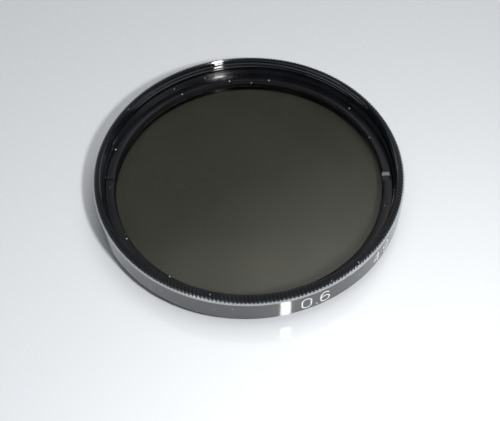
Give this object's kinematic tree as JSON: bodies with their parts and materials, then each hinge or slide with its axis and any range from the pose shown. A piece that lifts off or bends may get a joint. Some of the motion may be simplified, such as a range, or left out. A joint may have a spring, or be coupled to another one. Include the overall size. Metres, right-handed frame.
{
  "type": "neutral density filter",
  "caption": "Round grey glass filter in a black turned ring, with a screw thread at the rear, a knurled front rim with an inside thread, and a slotted ring that holds the glass.",
  "frame": {"origin": "middle of the rear end face, on the optical axis, at the lowest point of the filter", "axes": "+Z along the optical axis from the rear thread to the front rim. +X through one of the two slots of the retaining ring, +Y square to both."},
  "size_m": [0.051, 0.051, 0.0071],
  "materials": {
    "anodised_ring": "satin black anodised, with fine turning marks",
    "nd_glass": "polished, neutral grey",
    "retainer": "matt black anodised"
  },
  "bodies": {
    "root": {"filter_ring": "anodised_ring", "nd_glass": "nd_glass", "retaining_ring": "retainer"}
  },
  "joints": []
}
